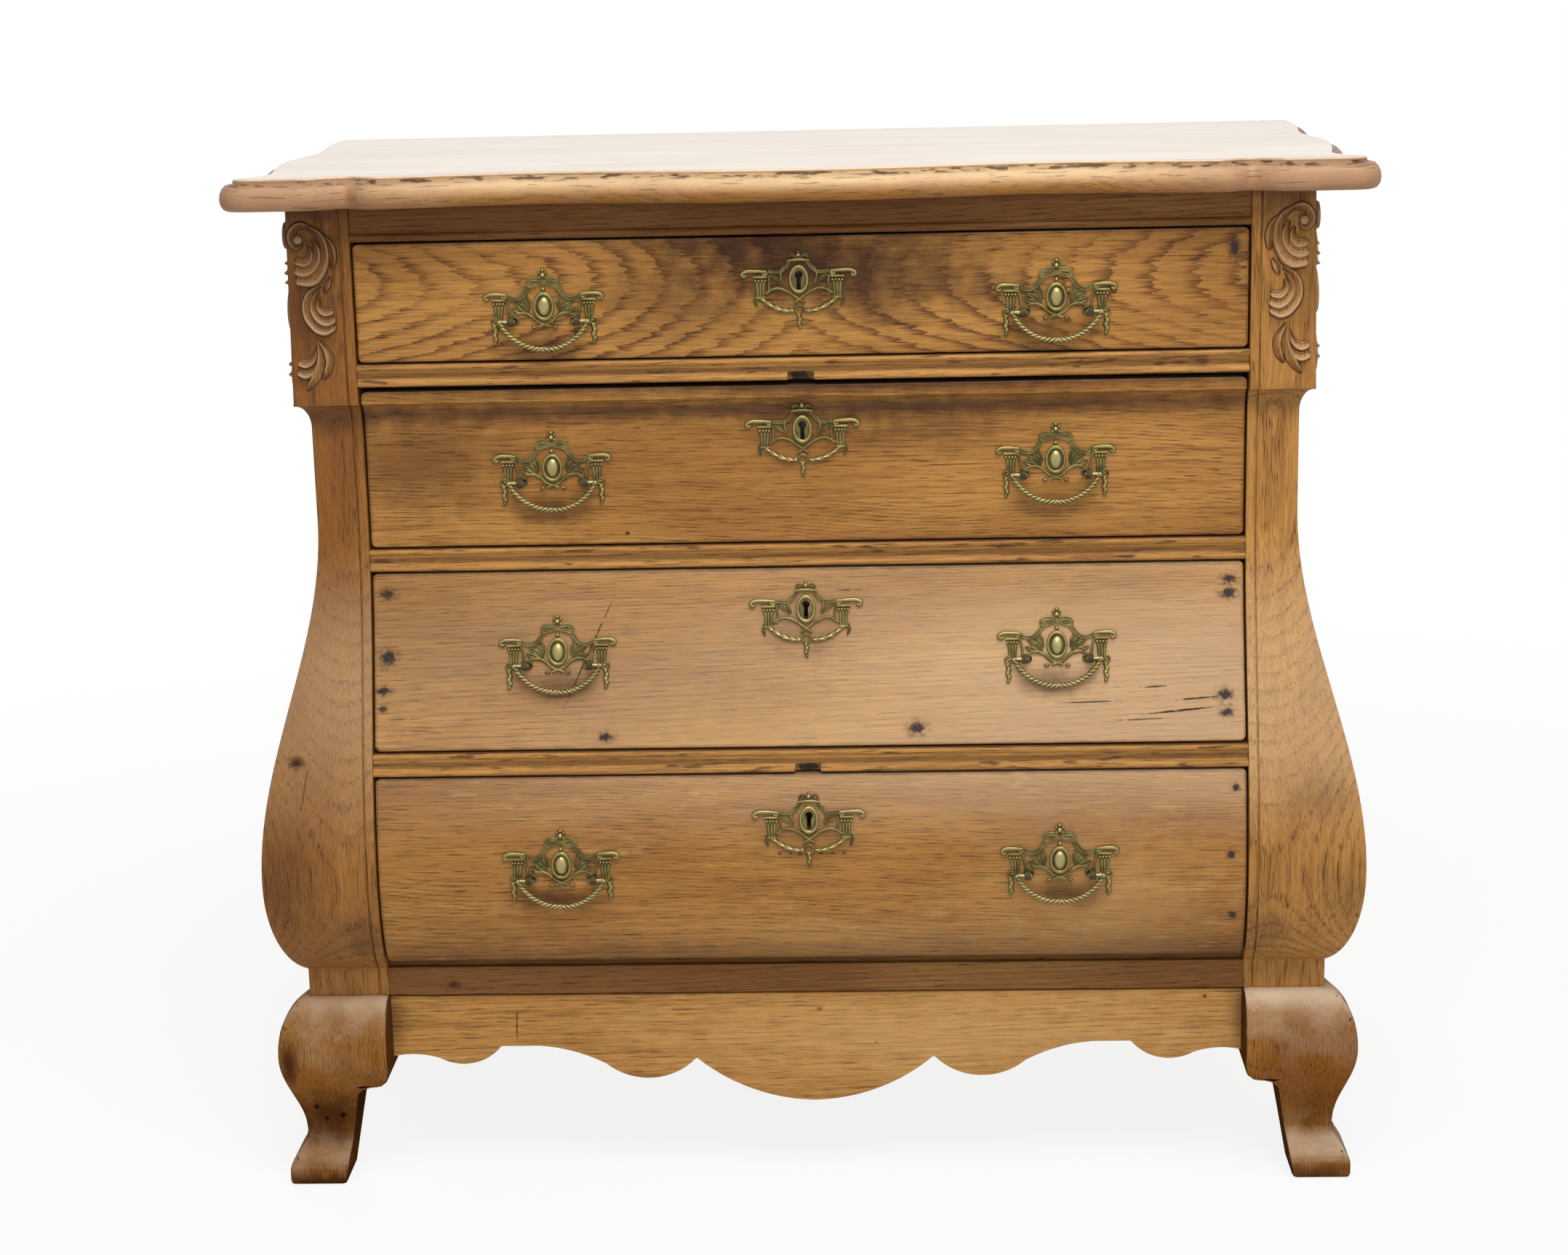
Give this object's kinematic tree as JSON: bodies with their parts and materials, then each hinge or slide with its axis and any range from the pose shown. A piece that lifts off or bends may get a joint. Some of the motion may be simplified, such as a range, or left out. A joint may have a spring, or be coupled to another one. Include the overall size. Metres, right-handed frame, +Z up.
{
  "type": "bombe chest of drawers",
  "caption": "Oak kettle-base chest: swelling front and sides, sliding drawers with locks and brass bail handles, shaped moulded top, scalloped apron, cabriole feet.",
  "frame": {"origin": "centre of the bounding box on the floor under the feet", "axes": "+X to the right of someone facing the drawers, +Y to the back, +Z up; drawers open to -Y"},
  "size_m": [0.9821, 0.5744, 0.898],
  "materials": {
    "oak": "waxed honey-brown oak",
    "inner_oak": "unfinished pale oak",
    "brass": "dull antique brass",
    "iron": "dark worn iron"
  },
  "bodies": {
    "carcass": {"top_front_board": "oak", "top_rear_board": "oak", "front_left_post": "oak", "front_right_post": "oak", "rear_left_post": "oak", "rear_right_post": "oak", "front_left_foot": "oak", "front_right_foot": "oak", "left_side_panel": "oak", "right_side_panel": "oak", "top_rail": "oak", "drawer_rail_1": "oak", "drawer_rail_2": "oak", "drawer_rail_3": "oak", "base_rail": "oak", "front_apron": "oak", "bottom_board": "inner_oak", "back_boards": "inner_oak", "drawer_runners": "inner_oak", "top_kickers": "inner_oak"},
    "drawer_1": {"drawer_1_front": "oak", "drawer_1_sides": "inner_oak", "drawer_1_back": "inner_oak", "drawer_1_bottom": "inner_oak", "drawer_1_lock_case": "iron", "drawer_1_escutcheon": "brass", "drawer_1_handle_plates": "brass"},
    "drawer_1_left_bail": {"drawer_1_left_bail": "brass"},
    "drawer_1_right_bail": {"drawer_1_right_bail": "brass"},
    "drawer_1_lock_bolt": {"drawer_1_lock_bolt": "iron"},
    "drawer_2": {"drawer_2_front": "oak", "drawer_2_sides": "inner_oak", "drawer_2_back": "inner_oak", "drawer_2_bottom": "inner_oak", "drawer_2_lock_case": "iron", "drawer_2_escutcheon": "brass", "drawer_2_handle_plates": "brass"},
    "drawer_2_left_bail": {"drawer_2_left_bail": "brass"},
    "drawer_2_right_bail": {"drawer_2_right_bail": "brass"},
    "drawer_2_lock_bolt": {"drawer_2_lock_bolt": "iron"},
    "drawer_3": {"drawer_3_front": "oak", "drawer_3_sides": "inner_oak", "drawer_3_back": "inner_oak", "drawer_3_bottom": "inner_oak", "drawer_3_lock_case": "iron", "drawer_3_escutcheon": "brass", "drawer_3_handle_plates": "brass"},
    "drawer_3_left_bail": {"drawer_3_left_bail": "brass"},
    "drawer_3_right_bail": {"drawer_3_right_bail": "brass"},
    "drawer_3_lock_bolt": {"drawer_3_lock_bolt": "iron"},
    "drawer_4": {"drawer_4_front": "oak", "drawer_4_sides": "inner_oak", "drawer_4_back": "inner_oak", "drawer_4_bottom": "inner_oak", "drawer_4_lock_case": "iron", "drawer_4_escutcheon": "brass", "drawer_4_handle_plates": "brass"},
    "drawer_4_left_bail": {"drawer_4_left_bail": "brass"},
    "drawer_4_right_bail": {"drawer_4_right_bail": "brass"},
    "drawer_4_lock_bolt": {"drawer_4_lock_bolt": "iron"}
  },
  "joints": [
    {"name": "drawer_1_slide", "type": "slide", "parent": "carcass", "child": "drawer_1", "axis": [0, -1, 0], "range_m": [0, 0.33]},
    {"name": "drawer_1_left_bail_hinge", "type": "hinge", "parent": "drawer_1", "child": "drawer_1_left_bail", "pos_m": [-0.217, -0.23783, 0.772], "axis": [-1, 0, 0], "range_deg": [0, 90]},
    {"name": "drawer_1_right_bail_hinge", "type": "hinge", "parent": "drawer_1", "child": "drawer_1_right_bail", "pos_m": [0.217, -0.23783, 0.772], "axis": [-1, 0, 0], "range_deg": [0, 90]},
    {"name": "drawer_1_lock_bolt_slide", "type": "slide", "parent": "drawer_1", "child": "drawer_1_lock_bolt", "axis": [0, 0, 1], "range_m": [0, 0.009]},
    {"name": "drawer_2_slide", "type": "slide", "parent": "carcass", "child": "drawer_2", "axis": [0, -1, 0], "range_m": [0, 0.33]},
    {"name": "drawer_2_left_bail_hinge", "type": "hinge", "parent": "drawer_2", "child": "drawer_2_left_bail", "pos_m": [-0.217, -0.22583, 0.631], "axis": [-1, 0, 0], "range_deg": [0, 90]},
    {"name": "drawer_2_right_bail_hinge", "type": "hinge", "parent": "drawer_2", "child": "drawer_2_right_bail", "pos_m": [0.217, -0.22583, 0.631], "axis": [-1, 0, 0], "range_deg": [0, 90]},
    {"name": "drawer_2_lock_bolt_slide", "type": "slide", "parent": "drawer_2", "child": "drawer_2_lock_bolt", "axis": [0, 0, 1], "range_m": [0, 0.009]},
    {"name": "drawer_3_slide", "type": "slide", "parent": "carcass", "child": "drawer_3", "axis": [0, -1, 0], "range_m": [0, 0.33]},
    {"name": "drawer_3_left_bail_hinge", "type": "hinge", "parent": "drawer_3", "child": "drawer_3_left_bail", "pos_m": [-0.217, -0.2459, 0.47341], "axis": [-1, 0, 0], "range_deg": [0, 90]},
    {"name": "drawer_3_right_bail_hinge", "type": "hinge", "parent": "drawer_3", "child": "drawer_3_right_bail", "pos_m": [0.217, -0.2459, 0.47341], "axis": [-1, 0, 0], "range_deg": [0, 90]},
    {"name": "drawer_3_lock_bolt_slide", "type": "slide", "parent": "drawer_3", "child": "drawer_3_lock_bolt", "axis": [0, 0, 1], "range_m": [0, 0.009]},
    {"name": "drawer_4_slide", "type": "slide", "parent": "carcass", "child": "drawer_4", "axis": [0, -1, 0], "range_m": [0, 0.33]},
    {"name": "drawer_4_left_bail_hinge", "type": "hinge", "parent": "drawer_4", "child": "drawer_4_left_bail", "pos_m": [-0.217, -0.283, 0.28937], "axis": [-1, 0, 0], "range_deg": [0, 90]},
    {"name": "drawer_4_right_bail_hinge", "type": "hinge", "parent": "drawer_4", "child": "drawer_4_right_bail", "pos_m": [0.217, -0.283, 0.28937], "axis": [-1, 0, 0], "range_deg": [0, 90]},
    {"name": "drawer_4_lock_bolt_slide", "type": "slide", "parent": "drawer_4", "child": "drawer_4_lock_bolt", "axis": [0, 0, 1], "range_m": [0, 0.009]}
  ]
}
